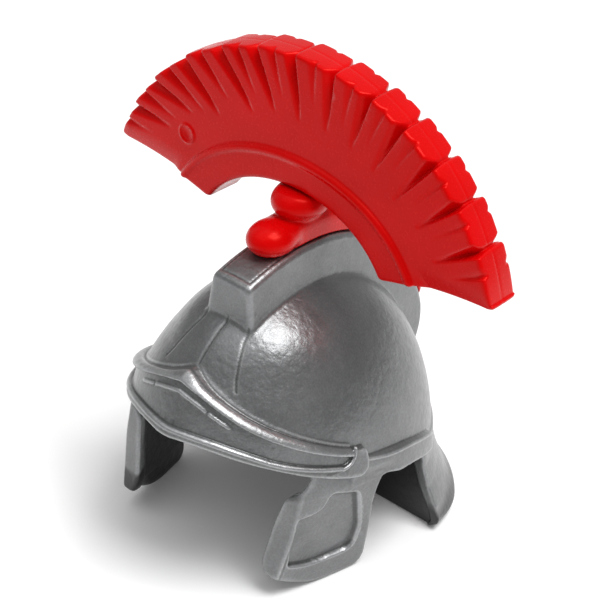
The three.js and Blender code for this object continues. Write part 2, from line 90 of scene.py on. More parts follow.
# The brow by angle from the front: top and foot of the band, top and foot of the rim, and how far
# the band stands out, then the plate at its top and at its foot.
BROW_COLUMNS = ("angle", "top", "band_foot", "rim_top", "rim_foot", "band", "plate_top", "plate_foot")
BROW = np.array([
    (0, 21.75, 20.80, 16.90, 16.05, 2.00, 1.50, 0.45),
    (13, 20.70, 20.20, 16.95, 16.20, 1.70, 1.20, 0.35),
    (25, 19.85, 19.25, 16.70, 15.90, 1.40, 1.00, 0.30),
    (38, 18.75, 18.05, 16.00, 15.20, 1.30, 0.80, 0.30),
    (50, 17.65, 16.90, 15.00, 14.35, 1.25, 0.75, 0.30),
    (62, 16.40, 15.65, 14.15, 13.25, 1.20, 0.70, 0.35),
    (72, 15.30, 14.55, 13.50, 12.40, 1.05, 0.65, 0.40),
    (80, 14.50, 13.80, 13.00, 11.70, 0.90, 0.60, 0.40),
])
# The corners of this table and of the ledge's are softened over so many degrees.
BROW_SOFT, LEDGE_SOFT = 5.0, 4.0
# Round beads in the brow's section: offset and height of the centre, and radius.
BAND_TOP_BEAD = (0.08, -0.1, 0.16)
BAND_ROUND = (-0.56, -0.68, 0.5)
BAND_FOOT_BEAD = (-0.36, 0.1, 0.18)
RIM_BEAD = (0.26, -0.14, 0.2)
# The band's core between its beads: how far it lies in from the face and below the top, and how much of
# that drop goes for each millimetre that the band stands out beyond one.
CORE_IN, CORE_DROP, CORE_RISE = 0.36, 0.62, 0.25
# The plate lies a little in at its top and curves out by a power; the rim stands out from its foot.
PLATE_SUNK, PLATE_POWER = 0.12, 1.15
RIM_PROUD = 0.3
# The embossed line under the band: how far below it, its radius, the angles between which it fades out,
# and the angle and spread of the one gap in it.
EMBOSSED_DROP, EMBOSSED_RADIUS = 0.9, 0.17
EMBOSSED_FADE, EMBOSSED_GAP = (27.0, 31.0), (17.5, 0.7)

# The brow's rear end and the rear end of the hollow in it, seen from the side (y, z, rounding).
BROW_END = [
    (-30.0, 30.0, 0), (-30.0, 5.0, 0), (-12.0, 10.0, 0), (-6.1, 11.75, 0.9), (-4.65, 12.1, 1.1),
    (-4.7, 14.6, 1.3), (-6.5, 15.6, 0.5), (-8.0, 18.0, 0),
]
# The brow is cut along that outline only beyond this angle from the front.
BROW_END_ANGLE = 55.0
HOLLOW_END = [
    (-14.0, 20.0, 0), (-14.0, 13.35, 0), (-7.4, 13.3, 0.6), (-6.4, 13.8, 0.6), (-6.0, 15.3, 0.6),
    (-7.4, 17.4, 0),
]
# The hollow is open everywhere in front of the first y, and the bead on the rim ends at the second.
HOLLOW_FRONT_Y, RIM_BEAD_END_Y = -9.5, -7.7
# The tab behind the hollow, and the lip along its front edge, which keeps behind a y and below a height.
TAB_PROUD = 0.74
LIP_RADIUS, LIP_FRONT_Y, LIP_TOP = 0.15, -7.9, 15.0

# The ledge over the ear by angle from the front: top, foot and how far it stands out.
LEDGE_COLUMNS = ("angle", "top", "foot", "proud")
LEDGE = np.array([
    (80, 13.4, 10.9, 0.50), (92, 12.8, 10.5, 0.55), (104, 12.0, 9.8, 0.55),
    (116, 10.7, 8.5, 0.55), (126, 9.4, 7.6, 0.50),
])
LEDGE_START, LEDGE_END = 78.0, 122.0
# Between two angles the ledge stands out less toward the brow, and between two others its foot sinks so
# far under the dome's skin.
LEDGE_SINK, LEDGE_SINK_ANGLES = 0.4, (76.0, 95.0)
FOOT_SUNK, FOOT_ANGLES = 0.3, (88.0, 98.0)
# The step's top falls outward by this slope, with a bead along its edge: offset, height and radius.
LEDGE_SLOPE = 0.45
LEDGE_BEAD = (-0.08, -0.22, 0.16)

# The neck guard by height: how far it stands out to the sides and to the rear, and how much of
# that goes again where its rim rounds into a front corner.
NECK_COLUMNS = ("z", "side", "rear", "corner")
NECK = np.array([
    (0.0, 3.30, 2.30, 1.80), (0.8, 3.50, 2.40, 0.90), (1.3, 3.20, 1.95, 0.50), (2.6, 2.30, 1.25, 0.0),
    (4.4, 1.20, 0.60, 0.0), (6.4, 0.35, 0.20, 0.0), (8.6, 0.0, 0.0, 0.0),
])
NECK_CORNER_ANGLE, NECK_CORNER_SPREAD = 114.0, 16.0
# The inner face is drawn in less there, so that the wall thins toward the corner's tip.
NECK_INNER_SHARE = 0.45

# Level sections of a cheek guard: rear edge, fold, free edge, and how the section bows.
GUARD_COLUMNS = ("z", "rear_x", "fold_x", "fold_y", "edge_x", "edge_y", "bow")
GUARD = np.array([
    (-0.5, 12.5, 9.7, -13.05, 7.3, -13.5, 1.1), (2.2, 12.7, 9.8, -13.0, 7.4, -13.4, 1.2),
    (8.0, 12.7, 10.5, -12.0, 8.2, -12.5, 2.0), (10.7, 12.55, 10.55, -11.5, 8.4, -11.9, 2.7),
    (14.2, 11.5, 10.0, -10.9, 8.9, -11.2, 2.7),
])
GUARD_REAR_Y = -0.1
GUARD_WALL = 1.2

# Outlines of the guard from the side (y, z, rounding) and of its free edge from the front (x, z, rounding).
GUARD_SIDE = [
    (-8.6, 15.0, 0), (-10.9, 14.4, 0), (-11.6, 11.0, 0.4), (-13.2, 9.6, 0.6), (-14.3, 3.0, 0.6),
    (-13.4, 2.2, 0.6), (-9.4, 0.3, 0.8), (-7.6, 0.0, 0.6), (-3.1, 0.0, 1.6), (-3.1, 8.6, 1.6),
    (-1.2, 10.9, 0.8), (-2.4, 13.0, 0),
]
GUARD_FRONT = [
    (10.35, 16, 0), (10.35, 11.4, 0.8), (8.9, 10.6, 0.9), (8.3, 7.5, 0.5), (7.7, 3.4, 0.8),
    (8.4, 2.1, 0.6), (9.6, 1.9, 0), (9.6, -2, 0), (20, -2, 0), (20, 16, 0),
]
# The sunk panel in the guard, seen from the side.
PANEL = [
    (-11.6, 8.75, 0.5), (-10.2, 8.8, 0.9), (-9.1, 9.3, 0.5), (-8.45, 10.6, 0.5), (-5.35, 9.5, 0.5),
    (-4.55, 5.2, 0.6), (-4.9, 2.7, 1.2), (-9.5, 2.75, 1.2), (-12.0, 3.5, 0.4),
]
PANEL_DEPTH, PANEL_EDGE = 0.55, 0.18
# A distance across a leaning wall is this share of the level one: the cheek guard's, and the neck guard's.
SIDE_LEAN, SKIRT_LEAN = 0.95, 0.85
# The fine crease along the panel's front edge, down to the guard's lower edge, seen from the side.
CREASE = ((-11.35, 9.0), (-12.75, 2.2))

# Grooves in the fan's front face: angle at the rim, how far the inner end leans, its radius, and the
# depth and width at the rim. The first twelve part the blocks, the others lie within a block.
BLOCK_GROOVES = [
    (152.3, 5.5, 17.4, 1.2, 1.2), (142.0, 6.5, 17.0, 1.3, 1.35), (128.9, 4.2, 15.8, 1.4, 1.45),
    (116.2, 6.6, 15.8, 1.5, 1.35), (104.8, 4.6, 16.2, 1.5, 1.25), (93.5, 3.2, 16.0, 1.5, 1.15),
    (82.0, 2.0, 16.4, 1.5, 1.15), (71.2, 1.0, 16.6, 1.5, 1.15), (61.2, 0.6, 16.4, 1.5, 1.15),
    (50.6, 0.5, 16.2, 1.5, 1.15), (40.3, 0.2, 16.8, 1.5, 1.1), (29.7, 0.0, 17.0, 1.5, 1.1),
]
MINOR_GROOVES = [
    (157.4, 3.0, 18.6, 0.50, 1.0), (147.1, 4.0, 17.6, 0.70, 1.2), (135.6, 5.0, 16.6, 0.75, 1.3),
    (123.2, 4.5, 17.0, 0.70, 1.2), (110.8, 3.6, 17.4, 0.60, 1.0), (99.6, 2.6, 17.6, 0.45, 0.9),
    (87.4, 1.6, 18.0, 0.40, 0.8), (76.4, 1.4, 17.8, 0.40, 0.8), (66.8, 0.8, 18.0, 0.40, 0.8),
    (56.8, 0.5, 18.0, 0.40, 0.8), (46.3, 0.4, 18.0, 0.40, 0.8), (36.3, 0.2, 18.0, 0.40, 0.8),
    (24.7, 0.0, 17.6, 0.45, 0.9),
]
# The grooves in the back face lie a little higher and are shallower.
BACK_TURN, BACK_SHARE, BACK_NARROW = 0.6, 0.8, 0.55
# A groove's width at its inner end as a share of that at the rim, and the width of its steep wall.
GROOVE_END_SHARE, STEEP_WIDTH = 0.35, 0.22
# How far a block stands proud at its start and falls short at its end, and the angles of the rim's ends.
SAW, SAW_ENDS = 0.14, [164.0, 18.0]
# Nicks in the rim: the grooves that end in them, their depth inside and at the faces, and their width.
NICKS = ((BLOCK_GROOVES, 0.2, 0.3, 0.4), (MINOR_GROOVES, 0.0, 0.1, 0.3))
# How far from the middle of its thickness the rim counts as inside and as face.
NICK_FACES = (1.1, 1.9)
# How the rim is crowned, by the square of the way from its middle, and its parting line's depth and width.
RIM_CROWN = 0.02
PARTING_DEPTH, PARTING_WIDTH = 0.04, 0.09
# The rounded roll along the band's outer edge: how far in its centre lies, and its radius.
ROLL_IN, ROLL_RADIUS = 0.38, 0.45
# The chamfer on the front face at the fan's two ends.
CHAMFER_DEPTH, CHAMFER_WIDTH = 0.45, 2.2
# The small round mark on the fan's front face: its place, its ring and the dimple in it.
MARK_RADIUS, MARK_ANGLE = 16.35, math.radians(142.6)
RING_RADIUS, RING_WIDTH, RING_HEIGHT = 0.84, 0.11, 0.16
DIMPLE_RADIUS, DIMPLE_DEPTH = 0.42, 0.1

# The stem's bar along the ridge: half its width, how high it stands, how far it falls toward the rear,
# and the angles along the crown between which it falls, and between which it lies.
STEM_HALF, STEM_RISE, STEM_FALL = 1.75, 2.4, 1.2
STEM_FALL_ANGLES = (10.0, 50.0)
STEM_START, STEM_END = -4.0, 63.0
# The gap to the ridge under it and to the crest above it.
STEM_GAP = 0.12
# Its egg-shaped lobes by centre and half sizes.
STEM_FOOT = ((0.0, -5.1, 30.75), (2.15, 2.6, 1.6))
STEM_LOBE = ((0.0, -1.4, 33.3), (2.5, 3.1, 1.75))
STEM_NUB = ((0.0, 15.9, 16.9), (1.7, 1.3, 1.3))

# How far out of the outer skin a place lies where the paint is gone and where it is full.
PAINT_GONE, PAINT_FULL = -0.7, -0.3
# Toward the neck guard's low rim, and at the low tip of the right cheek guard, a place counts as deeper, so
# that these turn black as painted shade near the floor.
NECK_PAINTED_SHADE, NECK_PAINTED_SHADE_Z = 1.4, (4.6, -0.5)
TIP_PAINTED_SHADE_Y, TIP_PAINTED_SHADE_Z = (-10.8, -12.4), (5.2, 3.9)

# The camera, fitted to the photograph: turned by AZIMUTH and raised by ELEVATION, with a slight roll.
AZIMUTH, ELEVATION, ROLL = math.radians(38.12), math.radians(31.89), math.radians(-4.59)
PIXEL = 0.09
FOCAL_PIXELS, FRAME_PIXELS = 1880.0, 600.0
CENTRE_SHIFT = (12.5, 18.6)
AIM = Vector((0.0, -2.52, 25.11))
SENSOR = 36.0

# The lights and the floor, in metres and watts: the place that the lights face, and half the floor's side.
KEY = {"place": (0.20, 0.045, 0.54), "size": 0.32, "power": 3.2}
OVERHEAD = {"place": (-0.1, -0.3, 1.0), "size": 1.0, "power": 3.2}
LIGHT_AIM = Vector((0.0, 0.0, 0.02))
ROOM_STRENGTH = 0.40
FLOOR_REACH = 3.0


def smooth_max(a, b, k):
    """The larger of two distances, with the corner between them rounded over k."""
    h = np.maximum(k - np.abs(a - b), 0.0) / k
    return np.maximum(a, b) + h * h * k * 0.25


def smooth_min(a, b, k):
    """The smaller of two distances, rounded in the same way."""
    return -smooth_max(-a, -b, k)


def smooth_step(low, high, value):
    t = np.clip((value - low) / (high - low), 0.0, 1.0)
    return t * t * (3.0 - 2.0 * t)


def column(table, names, name, at, soften=0.0):
    """A table's column at values of its first one, its corners softened over some distance."""
    places, values = table[:, 0], table[:, names.index(name)]
    if soften:
        fine = np.linspace(places[0], places[-1], 400)
        spread = np.linspace(-soften, soften, 21)
        values = np.mean([np.interp(fine + shift, places, values) for shift in spread], axis=0)
        places = fine
    return np.interp(at, places, values).astype(np.float32)


def grid(low, high, step):
    """Three open axes of sample places."""
    axes = [np.arange(a, b + step, step, dtype=np.float32) for a, b in zip(low, high)]
    return axes[0][:, None, None], axes[1][None, :, None], axes[2][None, None, :]


def rounded(points):
    """An outline's points with its corners turned into short curves."""
    out = []
    count = len(points)
    for i, (u, v, size) in enumerate(points):
        corner = np.array([u, v])
        if not size:
            out.append(corner)
            continue
        before = np.array(points[i - 1][:2]) - corner
        after = np.array(points[(i + 1) % count][:2]) - corner
        a = corner + before * size / np.linalg.norm(before)
        b = corner + after * size / np.linalg.norm(after)
        for t in np.linspace(0.0, 1.0, 6):
            out.append((1 - t) ** 2 * a + 2 * t * (1 - t) * corner + t * t * b)
    return np.array(out)


def inside_outline(points, u, v):
    """Signed distance to a rounded outline in a plane, negative inside it."""
    ring = rounded(points)
    best = np.full(np.broadcast(u, v).shape, 1e9, dtype=np.float32)
    sign = np.ones_like(best)
    for a, b in zip(ring, np.roll(ring, -1, axis=0)):
        du, dv = b - a
        t = np.clip(((u - a[0]) * du + (v - a[1]) * dv) / (du * du + dv * dv), 0.0, 1.0)
        best = np.minimum(best, (u - a[0] - t * du) ** 2 + (v - a[1] - t * dv) ** 2)
        edge_u = (b[0] - a[0]) * (v - a[1]) / (dv if dv else 1e-9) + a[0]
        crosses = ((a[1] > v) != (b[1] > v)) & (u < edge_u)
        sign = np.where(crosses, -sign, sign)
    return sign * np.sqrt(best)


def egg(x, y, z):
    """Distance out of the dome, which goes straight down below its widest level."""
    a, b, c = DOME_HALF
    ux, uy = np.abs(x) / a, (y - DOME_Y) / b
    uz = np.maximum(z - DOME_Z, 0.0) / c
    size = np.sqrt(ux * ux + uy * uy + uz * uz) + 1e-6
    front = np.clip(-FRONT_SPREAD * uy / size, 0.0, 1.0) * smooth_step(*FRONT_RISE, uz / size)
    power = DOME_POWER + FRONT_POWER * front
    total = (ux ** power + np.abs(uy) ** power + uz ** power) ** (1.0 / power)
    slope = np.sqrt((ux / a) ** 2 + (uy / b) ** 2 + (uz / c) ** 2) / size
    return (total - 1.0) / (slope + 1e-6)


def level_out(x, y, z):
    """Distance out of the dome measured on the level."""
    a, b, c = DOME_HALF
    ux, uy = x / a, (y - DOME_Y) / b
    reach = np.sqrt(ux * ux + uy * uy) + 1e-6
    rise = np.clip((z - DOME_Z) / c, 0.0, 0.98)
    slope = np.sqrt((ux / a) ** 2 + (uy / b) ** 2) / reach
    return (reach - np.sqrt(1.0 - rise * rise)) / (slope + 1e-6)


def angle_round(x, y):
    """Degrees round the dome from its front."""
    a, b, _ = DOME_HALF
    return np.degrees(np.arctan2(x / a, -(y - DOME_Y) / b))


def angle_along(y, z):
    """Degrees along the crown from its top toward the rear."""
    _, b, c = DOME_HALF
    return np.degrees(np.arctan2((y - DOME_Y) / b, np.maximum(z - DOME_Z, 0.01) / c))


def bead(o, h, centre_o, centre_h, radius):
    """A round bead that runs along a section, at an offset and a height."""
    return np.sqrt((o - centre_o) ** 2 + (h - centre_h) ** 2) - radius


def seam(x, y, start, stop):
    """How deep a hair line between two places in a plane is cut."""
    along = np.array(stop) - np.array(start)
    t = np.clip(((x - start[0]) * along[0] + (y - start[1]) * along[1]) / (along @ along), 0.0, 1.0)
    reach = np.sqrt((x - start[0] - t * along[0]) ** 2 + (y - start[1] - t * along[1]) ** 2)
    return HAIR_DEPTH * np.exp(-(reach / HAIR_WIDTH) ** 2)


def brow_form(x, y, z):
    """The band, the plate under it and the rim, as a section carried round the dome."""
    angle = angle_round(x, y)
    out = level_out(x, y, z)
    top, band_foot, rim_top, rim_foot, band, plate_top, plate_foot = (
        column(BROW, BROW_COLUMNS, name, angle, BROW_SOFT) for name in BROW_COLUMNS[1:]
    )
    blend = np.clip((z - rim_top) / (band_foot - rim_top), 0.0, 1.0)
    plate = plate_foot + (plate_top - PLATE_SUNK - plate_foot) * blend ** PLATE_POWER
    # Beside the ear the plate rises into a rounded tab, behind a lip that closes the hollow.
    hollow = np.where(y < HOLLOW_FRONT_Y, -1.0, inside_outline(HOLLOW_END, y, z))
    tab = smooth_step(-0.1, 0.14, hollow)
    plate = plate + (TAB_PROUD - plate) * tab
    sheet = np.maximum(out - plate, np.maximum(z - top + 0.3, rim_foot + 0.1 - z))
    # The band: a bead where it leaves the dome, a narrow hollow, a round ridge and a steep face.
    h = z - top
    body = smooth_max(out - band + CORE_IN, h + CORE_DROP - CORE_RISE * np.maximum(band - 1.0, 0.0), 0.1)
    body = smooth_min(body, bead(out - band, h, *BAND_ROUND), 0.12)
    body = smooth_max(body, band_foot - z, 0.1)
    body = smooth_min(body, bead(out, h, *BAND_TOP_BEAD), 0.06)
    body = smooth_min(body, bead(out - band, z - band_foot, *BAND_FOOT_BEAD), 0.05)
    body = smooth_max(body, hollow + 0.05, 0.25)
    # A raised line under the band, which fades out toward the side and is broken once.
    gap = np.exp(-((angle - EMBOSSED_GAP[0]) / EMBOSSED_GAP[1]) ** 2)
    fade = (1.0 - smooth_step(*EMBOSSED_FADE, angle)) * (1.0 - 0.9 * gap)
    line = bead(out - plate, z - band_foot, 0.0, -EMBOSSED_DROP, EMBOSSED_RADIUS * fade)
    half_rim = (rim_top - rim_foot) / 2
    rim = smooth_max(out - plate_foot - RIM_PROUD, np.abs(z - (rim_top + rim_foot) / 2) - half_rim, 0.22)
    rim_bead = bead(out - plate_foot, z - rim_top, *RIM_BEAD)
    rim = smooth_min(rim, smooth_max(rim_bead, y - RIM_BEAD_END_Y, 0.15), 0.08)
    whole = smooth_min(smooth_min(sheet, body, 0.1), rim, 0.1)
    whole = smooth_min(whole, np.where(fade > 0.05, line, 1.0), 0.06)
    lip = np.sqrt(hollow ** 2 + (out - TAB_PROUD) ** 2) - LIP_RADIUS
    whole = smooth_min(whole, np.where((z < LIP_TOP) & (y > LIP_FRONT_Y), lip, 1.0), 0.06)
    whole = smooth_max(whole, np.where(angle > BROW_END_ANGLE, inside_outline(BROW_END, y, z), -1.0), 0.25)
    return np.maximum(whole, -out - ROOT)


def ledge_form(x, y, z):
    """The ledge over the ear, a step with a bead along its edge."""
    angle = angle_round(x, y)
    out = level_out(x, y, z)
    top, foot, proud = (
        column(LEDGE, LEDGE_COLUMNS, name, angle, LEDGE_SOFT) for name in LEDGE_COLUMNS[1:]
    )
    proud = proud + 0.12 - LEDGE_SINK * (1.0 - smooth_step(*LEDGE_SINK_ANGLES, angle))
    arch = smooth_step(*FOOT_ANGLES, angle)
    proud = proud - (1.0 - arch) * (proud + FOOT_SUNK) * smooth_step(foot + 1.3, foot - 0.3, z)
    step = np.maximum((z - top + 0.12 + LEDGE_SLOPE * out) * 0.9, foot - z - 0.3)
    sheet = smooth_max(out - proud, step, 0.12)
    sheet = smooth_min(sheet, bead(out - proud, z - top + LEDGE_SLOPE * proud, *LEDGE_BEAD), 0.05)
    sheet = smooth_max(sheet, np.maximum(angle - LEDGE_END, LEDGE_START - angle) * 0.22, 0.2)
    return np.maximum(sheet, -out - ROOT)


def ridge_form(x, y, z, out):
    """The box along the crown, which ends in a rounded hump above the neck."""
    fade = np.clip((RIDGE_END - angle_along(y, z)) / RIDGE_FALL, 0.001, 1.0)
    height = RIDGE_HEIGHT * np.sqrt(fade * (2.0 - fade))
    half = RIDGE_HALF_FOOT + (RIDGE_HALF_TOP - RIDGE_HALF_FOOT) * np.clip(out / RIDGE_HEIGHT, -0.2, 1.0)
    sides = smooth_max(np.abs(x) - half, out - height, 0.55)
    body = smooth_max(sides, RIDGE_FRONT_Y - y, 0.5)
    # A hair line runs round the top face, a little in from its edges.
    inset = np.maximum(np.abs(x) - (RIDGE_HALF_TOP - LINE_IN_SIDE), RIDGE_FRONT_Y + LINE_IN_FRONT - y)
    line = np.maximum(np.abs(inset) - LINE_HALF, np.abs(out - height) - LINE_DEPTH)
    return np.maximum(smooth_max(body, -line, 0.1), -out - ROOT)


def skirt_reach(x, y, z, inset):
    """Distance out of the neck guard's outer face, drawn in by an inset."""
    a, b, _ = DOME_HALF
    turn = 180.0 - np.degrees(np.abs(np.arctan2(x / a, (y - DOME_Y) / b)))
    near = np.clip((NECK_CORNER_ANGLE + NECK_CORNER_SPREAD - turn) / NECK_CORNER_SPREAD, 0.0, 1.0) ** 2
    drawn = column(NECK, NECK_COLUMNS, "corner", z) * near * (NECK_INNER_SHARE if inset else 1.0)
    half_x = a + column(NECK, NECK_COLUMNS, "side", z) - drawn - inset
    half_y = b + column(NECK, NECK_COLUMNS, "rear", z) - drawn - inset
    ux, uy = x / half_x, (y - DOME_Y) / half_y
    reach = np.sqrt(ux * ux + uy * uy) + 1e-6
    slope = np.sqrt((ux / half_x) ** 2 + (uy / half_y) ** 2) / reach
    return (reach - 1.0) / slope * SKIRT_LEAN


def guard_form(x, y, z):
    """A cheek guard: a bowed side with a flange folded in at its front and a sunk panel."""
    rear_x, fold_x, fold_y, edge_x, edge_y, bow = (
        column(GUARD, GUARD_COLUMNS, name, z) for name in GUARD_COLUMNS[1:]
    )
    t = np.clip((y - GUARD_REAR_Y) / (fold_y - GUARD_REAR_Y), 0.0, 1.2)
    side_x = rear_x + (fold_x - rear_x) * t ** bow
    front_y = fold_y + (edge_y - fold_y) * (fold_x - x) / (fold_x - edge_x)
    panel = smooth_step(PANEL_EDGE, -PANEL_EDGE, inside_outline(PANEL, y, z))
    outer = smooth_max((x - side_x) * SIDE_LEAN, front_y - y, 0.22)
    inner = smooth_max((x - side_x + GUARD_WALL) * SIDE_LEAN, front_y + GUARD_WALL - y, 0.5)
    sunk = (x - side_x) * SIDE_LEAN + PANEL_DEPTH * panel
    sunk = np.maximum(outer, sunk) + seam(y, z, *CREASE)
    body = smooth_max(sunk, -inner, 0.3)
    side = inside_outline(GUARD_SIDE, y, z)
    free = inside_outline(GUARD_FRONT, x, z)
    return smooth_max(body, smooth_max(side, free, 0.4), 0.45), outer


def shell_form(x, y, z):
    """The whole silver moulding, and how far each place lies under its outer skin, taken deeper at the neck
    guard's low rim as painted shade.
    """
    out = egg(x, y, z)
    lower = np.interp(y, LOWER_EDGE[:, 0], LOWER_EDGE[:, 1]).astype(np.float32)
    lower = np.where(y > UNCUT_Y, -5.0, lower)
    wall = smooth_max(out, -(out + WALL), 0.3)
    front_wall = smooth_max(wall, (lower - z) * 0.9, 0.35)
    skirt_out = skirt_reach(x, y, z, 0.0)
    skirt_in = skirt_reach(x, y, z, WALL)
    skirt = smooth_max(skirt_out, -skirt_in, 0.3)
    skirt = smooth_max(smooth_max(skirt, NECK_FRONT - y, 0.35), np.maximum(-z, z - NECK_TOP), 0.35)
    body = smooth_min(front_wall, skirt, 0.3)
    body = smooth_min(body, ledge_form(x, y, z), 0.1)
    body = smooth_min(body, ridge_form(x, y, z, out), 0.45)
    # The neck guard's front ends are painted; its low rim is turned black toward the bottom as painted
    # shade.
    painted = np.where(y < NECK_FRONT + 0.35, np.maximum(skirt_out, -0.3), skirt_out)
    bare_and_shade = np.where(skirt < front_wall, painted - NECK_PAINTED_SHADE * smooth_step(*NECK_PAINTED_SHADE_Z, z), out)
    guard, guard_out = guard_form(x, y, z)
    bare_and_shade = np.where(guard < body, guard_out, bare_and_shade)
    body = smooth_min(body, guard, 0.4)
    body = smooth_min(body, brow_form(x, y, z), 0.1)
    web = np.maximum(np.abs(y - WEB_FRONT - WEB_THICKNESS / 2) - WEB_THICKNESS / 2, z - WEB_TOP)
    web = smooth_max(web, np.where(z < NECK_TOP, np.minimum(out, skirt_out), out) + WEB_SUNK, 0.2)
    bare_and_shade = np.where(web < body, -2.0, bare_and_shade)
    body = smooth_min(body, web, 0.3)
    lines = np.max([seam(x, y, start, stop) for start, stop in SEAMS], axis=0)
    body = body + np.where((np.abs(out) < 0.3) & (z > SEAM_FOOT_Z), lines, 0.0)
    return smooth_max(body, -z, 0.2), bare_and_shade


def fan_polar(x, z):
    """Radius, angle in degrees and squared cosine about the fan's centre."""
    r = np.sqrt(x * x + (z - FAN_Z) ** 2)
    theta = np.degrees(np.arctan2(z - FAN_Z, x))
    return r, theta, (x / np.maximum(r, 1e-3)) ** 2


def arc(degrees, r):
    """The length of an arc."""
    return degrees * math.pi / 180.0 * r


def groove_depth(r, theta, rim, turn=0.0, share=1.0, narrow=1.0):
    """How deep the grooves cut a face: a slow slope on one side, a steep wall on the other."""
    depth = np.zeros(np.broadcast(r, theta, rim).shape, dtype=np.float32)
    for angle, lean, inner, deep, width in BLOCK_GROOVES + MINOR_GROOVES:
        s = np.clip((rim - r) / (FAN_RADIUS - inner), 0.0, 1.0)
        along = arc(theta - angle - turn + lean * s ** 1.2, r)
        taper = 1.0 - s
        slow = 1.0 - along / (width * narrow * (GROOVE_END_SHARE + (1.0 - GROOVE_END_SHARE) * taper))
        steep = 1.0 + along / STEEP_WIDTH
        cut = np.clip(smooth_min(slow, steep, 0.2), 0.0, 1.0)
        depth = np.maximum(depth, share * deep * (0.6 * taper ** 2 + 0.4 * taper ** 0.6) * cut ** 1.3)
    return depth


def rim_saw(theta, r, aside):
    """The rim's low saw teeth and the nicks between them."""
    block = np.zeros(np.broadcast(theta, r).shape, dtype=np.float32)
    starts = sorted([groove[0] for groove in BLOCK_GROOVES] + SAW_ENDS, reverse=True)
    for start, stop in zip(starts, starts[1:]):
        here = (theta <= start) & (theta > stop)
        block = np.where(here, SAW * (1.0 - 2.0 * (start - theta) / (start - stop)), block)
    edge = smooth_step(*NICK_FACES, aside)
    for grooves, inside, outside, width in NICKS:
        deep = inside + (outside - inside) * edge
        for groove in grooves:
            along = arc(np.abs(theta - groove[0] - 0.2), r)
            block = block - deep * np.clip(1.0 - along / width, 0.0, 1.0) ** 1.5
    return block


def fan_form(x, y, z):
    """The pleated fan over its band."""
    r, theta, cosine2 = fan_polar(x, z)
    rim = FAN_RADIUS + FAN_GROWTH * cosine2
    inner = BAND_INNER + BAND_INNER_GROWTH * cosine2
    band = BAND_OUTER + BAND_OUTER_GROWTH * cosine2
    front = FAN_FRONT + groove_depth(r, theta, rim) - y
    back = y - FAN_BACK + groove_depth(r, theta, rim, BACK_TURN, BACK_SHARE, BACK_NARROW)
    middle, half = (FAN_FRONT + FAN_BACK) / 2, (FAN_BACK - FAN_FRONT) / 2
    aside = np.abs(y - middle)
    crown = RIM_CROWN * (y - middle) ** 2
    parting = PARTING_DEPTH * np.exp(-((y - middle) / PARTING_WIDTH) ** 2)
    saw = rim_saw(theta, r, aside)
    plate = smooth_max(np.maximum(front, back), r - rim - saw + crown + parting, 0.42)
    plate = smooth_max(plate, band - 0.6 - r, 0.1)
    # The band: a flat strip with a rounded roll along its outer edge.
    roll = np.sqrt((r - band + ROLL_IN) ** 2 + np.maximum(aside - half + 0.1, 0.0) ** 2) - ROLL_RADIUS
    flat = smooth_max(aside - half - BAND_PROUD + 0.12, np.maximum(r - band + 0.1, inner - r), 0.5)
    # The two ends lean outward from the band to the tips.
    low = np.clip((FAN_RADIUS - r) / (FAN_RADIUS - TIP_RADIUS_INNER), 0.0, 1.0)
    end_angle = TIP_ANGLE + (TIP_ANGLE_INNER - TIP_ANGLE) * low
    end = arc(end_angle - 90.0 + np.abs(theta - 90.0), r)
    chamfer = CHAMFER_DEPTH * np.clip(1.0 + end / CHAMFER_WIDTH, 0.0, 1.0) ** 1.3
    chamfer = chamfer * smooth_step(band, band + 1.5, r)
    plate = smooth_max(plate, (FAN_FRONT + chamfer - y) * 0.96, 0.2)
    whole = smooth_min(smooth_min(flat, roll, 0.1), plate, 0.14)
    whole = smooth_max(whole, end, 0.4)
    mark_x = MARK_RADIUS * math.cos(MARK_ANGLE)
    mark_z = FAN_Z + MARK_RADIUS * math.sin(MARK_ANGLE)
    spot = np.sqrt((x - mark_x) ** 2 + (z - mark_z) ** 2)
    raised = RING_HEIGHT * np.exp(-((spot - RING_RADIUS) / RING_WIDTH) ** 2)
    raised = raised - DIMPLE_DEPTH * np.exp(-(spot / DIMPLE_RADIUS) ** 4)
    return whole - np.where(y < middle, raised, 0.0)


def ball(x, y, z, centre, half):
    """Distance out of an egg shape, given by its centre and its half sizes."""
    ux, uy, uz = (x - centre[0]) / half[0], (y - centre[1]) / half[1], (z - centre[2]) / half[2]
    size = np.sqrt(ux * ux + uy * uy + uz * uz) + 1e-6
    slope = np.sqrt((ux / half[0]) ** 2 + (uy / half[1]) ** 2 + (uz / half[2]) ** 2) / size
    return (size - 1.0) / slope


def stem_form(x, y, z):
    """The foot that lies along the ridge, its front lobe and the upper lobe under the crest."""
    out = egg(x, y, z)
    along = angle_along(y, z)
    top = RIDGE_HEIGHT + STEM_RISE - STEM_FALL * smooth_step(*STEM_FALL_ANGLES, along)
    bar = smooth_max(np.abs(x) - STEM_HALF, out - top, 1.1)
    bar = smooth_max(bar, np.maximum(STEM_START - along, along - STEM_END) * 0.35, 0.8)
    body = smooth_min(bar, ball(x, y, z, *STEM_FOOT), 0.5)
    body = smooth_min(body, ball(x, y, z, *STEM_LOBE), 0.35)
    body = smooth_min(body, ball(x, y, z, *STEM_NUB), 0.3)
    body = smooth_max(body, RIDGE_HEIGHT + STEM_GAP - out, 0.2)
    r, _, cosine2 = fan_polar(x, z)
    saddle = np.where(z > FAN_Z, r - (BAND_INNER - STEM_GAP + BAND_INNER_GROWTH * cosine2), -5.0)
    return smooth_max(body, saddle, 0.15)


def without_crumbs(field):
    """The field with each sample turned that lies on its own on the other side of the surface."""
    inside = field < 0.0
    middle = (slice(1, -1),) * 3
    around = np.zeros(inside[middle].shape, dtype=np.int8)
    for axis in range(3):
        for shift in (-1, 1):
            around += np.roll(inside, shift, axis)[middle]
    core = inside[middle]
    lone = (core & (around == 0)) | (~core & (around == 6))
    field[middle] = np.where(lone, -field[middle], field[middle])
    return field


